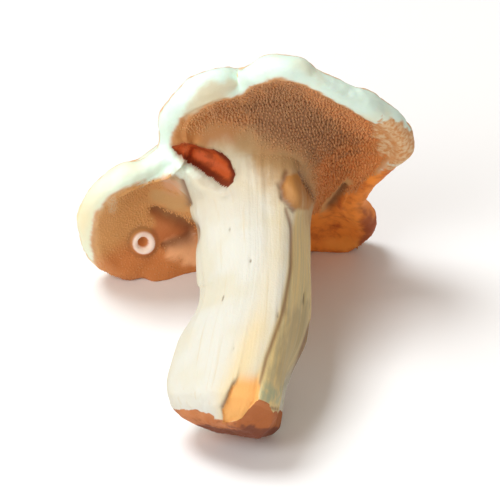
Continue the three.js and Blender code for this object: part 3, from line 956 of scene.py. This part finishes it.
class Finish:  # a material, and the one method that adds any other node to it
    def __init__(self, name):
        self.material = bpy.data.materials.new(name)
        self.material.use_nodes = True
        self.nodes = self.material.node_tree.nodes
        self.shader = self.nodes["Principled BSDF"]

    def node(self, kind, settings=None, output=0, **inputs):  # i0 is input 0, and Base_Color is Base Color
        made = self.nodes.new("ShaderNode" + kind)
        for name, value in (settings or {}).items():
            setattr(made, name, value)
        for name, value in inputs.items():
            plug(made.inputs[int(name[1:]) if name[1:].isdigit() else name.replace("_", " ")], value)
        return Wire(made.outputs[output])

    def mask(self, name):
        return self.node("Attribute", {"attribute_name": name}, output="Fac")

    def grains(self, scale, octaves, place=None):  # noise with grains so many to a metre
        place = place or self.node("TexCoord", output="Object")
        return self.node("TexNoise", Vector=place, Scale=scale, Detail=octaves, Roughness=0.55)

    def between(self, value, low, high):  # 0 below low, 1 above high
        return self.node("MapRange", {"interpolation_type": "SMOOTHSTEP"}, Value=value, i1=low, i2=high)

    def mix(self, share, first, second):
        return self.node("Mix", {"data_type": "RGBA"}, output=2, i0=share, i6=first, i7=second)

    def over(self, colour, shades, *layers):  # each layer is a mask, its share and the name of its shade
        for name, share, shade in layers:
            colour = self.mix(self.mask(name) * share, colour, shades[shade])
        return colour

    def finish(self, look, colour, rough, height):
        plug(self.shader.inputs["Base Color"], colour)
        plug(self.shader.inputs["Roughness"], rough)
        lifted = self.node("Bump", Height=height, Distance=look["lift"], Strength=1.0)
        plug(self.shader.inputs["Normal"], lifted)
        self.shader.inputs["Subsurface Weight"].default_value = look["scatter"]
        self.shader.inputs["Subsurface Radius"].default_value = look["scatterRadius"]
        self.shader.inputs["Subsurface Scale"].default_value = look["scatterDepth"]
        return self.material


def tone(code):  # a web colour, in the shader's linear light
    parts = [int(code[i:i + 2], 16) / 255 for i in (0, 2, 4)]
    return tuple(part / 12.92 if part <= 0.04045 else ((part + 0.055) / 1.055) ** 2.4 for part in parts)


skin = {
    "grains": {  # how many to a metre, and their detail
        "broad": (90, 2), "middle": (420, 4), "fine": (2400, 3), "mottle": (1300, 2),
    },
    "fibres": {"stretch": (14.0, 14.0, 3.0), "perZone": 1.2, "detail": 4},
    "roughness": 0.62, "lift": 0.0002,
    "scatter": 0.15, "scatterRadius": (1.0, 0.6, 0.35), "scatterDepth": 0.0015,
    "shades": {
        "ivory": "d3d2c8", "cream": "cdc4a6", "streak": "c9b283", "lee": "e2c47e", "facetShadeGrey": "beb082",
        "ridgeHighlightCream": "dfc68e", "neck": "cbb88c", "grey": "a4ac8c", "scar": "8c7f6a", "darkerPatch": "8c8068",
        "knob": "b07630", "white": "def4e8", "rimCream": "ecdcae", "rimShade": "d4c6a6", "veil": "c2b498",
        "callus": "ffe8da",
        "flare": "b08c5e", "corner": "b06c34", "tan": "d49858", "umber": "d09058", "sienna": "cc7c3e",
        "dusk": "8c6446", "glow": "bc7a4c", "buffy": "c9a26c", "blush": "d9a27c", "rust": "b5602c",
        "litPeach": "ffc08c", "apricot": "ebc48c", "buff": "e0a05c", "amber": "f29032", "amberDark": "b85410",
        "redEdge": "8c3810", "brightEdge": "f8a040", "fold": "c89c64", "bruise": "cc8c50", "mottle": "dcba90",
        "russet": "e06c30", "pocketShade": "7c3010", "creaseShadeTone": "6b3818", "scrape": "e8aa60", "base": "74381a",
        "cutRich": "a85c24", "cutLight": "c67e4a", "cutDark": "74401f",
    },
}


def paintFlesh():
    f = Finish("mushroomSkin")
    c = {name: tone(code) for name, code in skin["shades"].items()}
    broad, middle, fine, speckle = (f.grains(*grain) for grain in skin["grains"].values())
    grain = f.node("Attribute", {"attribute_name": "grain"}, output="Vector")
    stretched = f.node("VectorMath", {"operation": "MULTIPLY"}, i0=grain, i1=skin["fibres"]["stretch"])
    streaks = f.grains(1.0, skin["fibres"]["detail"], stretched)

    # the stem
    colour = f.mix(f.between(broad, 0.42, 0.66) * 0.5, c["ivory"], c["cream"])
    colour = f.mix(f.between(streaks, 0.56, 0.74) * 0.3, colour, c["streak"])
    # painted shade on the stem's right facet, in streaked tans
    lee = f.mix(f.between(streaks, 0.3, 0.8), c["lee"], c["facetShadeGrey"])
    colour = f.mix(f.mask("facetShade") * 0.9, colour, lee)
    # painted highlight along the stem's ridge, then painted shade on the stem's top under the cap
    colour = f.over(colour, c, ("ridgeHighlight", 0.7, "ridgeHighlightCream"), ("neck", 0.5, "neck"))
    colour = f.mix(f.mask("grey") * f.between(middle, 0.35, 0.6) * 0.8, colour, c["grey"])
    colour = f.mix(f.mask("flare"), colour, f.mix(f.mask("corner") * 0.6, c["flare"], c["corner"]))

    # the cap's top, its edge and its underside
    crown = f.mix(f.between(middle, 0.35, 0.65), c["apricot"], c["buff"])
    colour = f.mix(f.mask("crown") * f.between(broad + f.mask("crown") * 0.5, 0.5, 0.95), colour, crown)
    rim = f.mix(f.between(broad, 0.5, 0.75) * 0.6, c["white"], c["rimCream"])
    colour = f.mix(f.mask("margin"), colour, rim)
    # under the cap: painted shade deep in by the stem, and a painted highlight by the right edge
    under = f.over(
        c["umber"], c, ("gold", 1, "tan"), ("sienna", 1, "sienna"), ("dusk", 0.8, "dusk"),
        ("glow", 0.5, "glow"), ("corner", 0.65, "corner"),
    )
    colour = f.mix(f.mask("under"), colour, under)
    # the knob, buff, blush and rust tones, and the peach patch lightened as a painted highlight
    colour = f.over(
        colour, c, ("knob", 0.9, "knob"), ("buff", 0.7, "buffy"), ("blush", 0.8, "blush"),
        ("rust", 0.7, "rust"), ("litPeach", 0.9, "litPeach"),
    )
    amber = f.mix(f.between(middle, 0.4, 0.8), c["amber"], c["amberDark"])
    colour = f.mix(f.mask("amber"), colour, amber)
    # edge tones, the fold, the rim's cream, and the greyer tan and darker grey-brown patches on the stem
    colour = f.over(
        colour, c, ("redEdge", 0.8, "redEdge"), ("brightEdge", 0.8, "brightEdge"), ("fold", 0.8, "fold"),
        ("creamy", 0.8, "rimCream"), ("cream", 0.8, "rimShade"), ("veil", 0.65, "veil"),
        ("darkerPatch", 0.45, "darkerPatch"),
    )
    mottled = f.mix(f.between(speckle, 0.35, 0.65), c["bruise"], c["mottle"])
    colour = f.mix(f.between(f.mask("bruise") + middle * 0.6, 0.6, 1.1), colour, mottled)
    # real scuffs, then the painted shade along the margin's brink
    colour = f.over(colour, c, ("scuff", 0.8, "mottle"), ("brinkShade", 0.8, "umber"))
    colour = f.mix(f.between(f.mask("callus"), 0.3, 0.7), colour, c["callus"])

    # the pocket and its painted shade, the painted shade in the creases, and the knife's cuts
    # painted shade: dark red-brown round the pocket's rim, and darker mottling through its depths
    depths = f.mix(f.between(middle, 0.42, 0.6) * 0.5, c["russet"], c["pocketShade"])
    colour = f.mix(f.between(f.mask("pocket"), 0.3, 0.5), colour, c["pocketShade"])
    colour = f.mix(f.mask("inmost"), colour, depths)
    # painted shade in the creases and round the ring
    colour = f.over(colour, c, ("creaseShade", 0.7, "creaseShadeTone"))
    cut = f.mix(f.between(broad, 0.4, 0.6), c["cutLight"], c["cutRich"])
    cut = f.mix(f.between(middle, 0.52, 0.7) * 0.6, cut, c["cutDark"])
    colour = f.mix(f.between(f.mask("cut") + middle * 0.2, 0.5, 0.8), colour, cut)
    colour = f.mix(f.between(f.mask("russet") * f.mask("cut"), 0.3, 0.7) * 0.8, colour, c["cutRich"])
    # painted shade along the foot's lowest edge
    colour = f.mix(f.between(f.mask("base") * f.mask("cut"), 0.2, 0.8), colour, c["base"])
    colour = f.mix(f.between(f.mask("scraped"), 0.0, 0.8), colour, c["scrape"])
    colour = f.mix(f.between(f.mask("scar"), 0.3, 0.8) * 0.8, colour, c["scar"])
    height = middle * 0.5 + fine * 0.25 + streaks * 0.5
    return f.finish(skin, colour, skin["roughness"] + middle * 0.2, height)


toothSkin = {
    "grains": {"patch": (110, 2), "fine": (3000, 2)},
    "roughness": 0.6, "lift": 0.00005,
    "scatter": 0.15, "scatterRadius": (1.0, 0.5, 0.25), "scatterDepth": 0.0008,
    "shades": {
        "brown": "c28c5e", "gold": "dca062", "sienna": "d08444", "patch": "b88052", "dusk": "a07450",
        "glow": "e0985e", "pale": "e6b888", "young": "bc986a",
    },
}


def paintTeeth():
    f = Finish("toothFlesh")
    c = {name: tone(code) for name, code in toothSkin["shades"].items()}
    patch, fine = (f.grains(*grain) for grain in toothSkin["grains"].values())
    body = f.over(c["brown"], c, ("gold", 1, "gold"), ("sienna", 1, "sienna"))
    body = f.mix(f.between(patch, 0.4, 0.65) * 0.25, body, c["patch"])
    # the teeth take the painted shade deep under the cap and the painted highlight by its right edge
    body = f.over(body, c, ("dusk", 0.65, "dusk"), ("glow", 0.6, "glow"))
    body = f.mix(f.between(f.mask("shade"), 0.5, 1.0) * 0.15, body, c["pale"])
    body = f.over(body, c, ("young", 0.7, "young"))
    return f.finish(toothSkin, body, toothSkin["roughness"] + fine * 0.15, fine)


grain = flesh.data.attributes.new("grain", "FLOAT_VECTOR", "POINT").data  # round the stem and up it
for i, around in enumerate(arounds):
    spoke = Vector((around.x, around.y, 0)).normalized()
    grain[i].vector = (spoke.x, spoke.y, (alongs[i] - 2) * skin["fibres"]["perZone"])
flesh.data.materials.append(paintFlesh())
brush.data.materials.append(paintTeeth())
print("painted")


# The floor, the camera and the lamps, in metres.
studio = {
    "floorSize": 6, "floor": (0.93, 0.94, 0.96, 1), "floorRoughness": 0.8,
    "air": (1, 0.85, 0.72, 1), "airStrength": 0.37, "aim": (0, 0, 0.02),
    "lamps": [  # place, size, power and colour
        ((-0.34, 0.02, 0.90), 0.40, 6.2, (0.97, 1.0, 1.0)),
        ((-0.45, -0.60, 0.68), 0.4, 3.3, (0.97, 1.0, 1.0)),
        ((-0.30, -0.85, 0.45), 0.8, 1.8, (1.0, 0.97, 0.92)),
    ],
}
camera = {"elevation": 35, "distance": 1.8, "width": 0.0850, "right": 0.0007, "down": 0.0047, "sensor": 36}

bpy.ops.mesh.primitive_plane_add(size=studio["floorSize"])
floor = bpy.context.object
floor.name = "floor"
paper = Finish("paper")
plug(paper.shader.inputs["Base Color"], studio["floor"])
plug(paper.shader.inputs["Roughness"], studio["floorRoughness"])
floor.data.materials.append(paper.material)

bpy.ops.object.camera_add()
eye = bpy.context.object
tilt = math.radians(camera["elevation"])
target = (Vector(cadBox[0]) + Vector(cadBox[1])) / 2
upward = Vector((0, math.sin(tilt), math.cos(tilt)))
target = target + Vector((camera["right"], 0, 0)) - upward * camera["down"]
eye.location = target + Vector((0, -math.cos(tilt), math.sin(tilt))) * camera["distance"]
eye.rotation_euler = (math.pi / 2 - tilt, 0, 0)
eye.data.sensor_width = camera["sensor"]
eye.data.lens = camera["sensor"] * camera["distance"] / camera["width"]
bpy.context.scene.camera = eye

world = bpy.data.worlds.new("studio")
bpy.context.scene.world = world
world.use_nodes = True
air = world.node_tree.nodes["Background"]
air.inputs["Color"].default_value = studio["air"]
air.inputs["Strength"].default_value = studio["airStrength"]
for place, size, power, colour in studio["lamps"]:
    bpy.ops.object.light_add(type="AREA", location=place)
    lamp = bpy.context.object
    lamp.data.size, lamp.data.energy, lamp.data.color = size, power, colour
    lamp.rotation_euler = (Vector(studio["aim"]) - lamp.location).to_track_quat("-Z", "Y").to_euler()
bpy.context.scene.view_settings.view_transform = "Standard"
print("stage set")
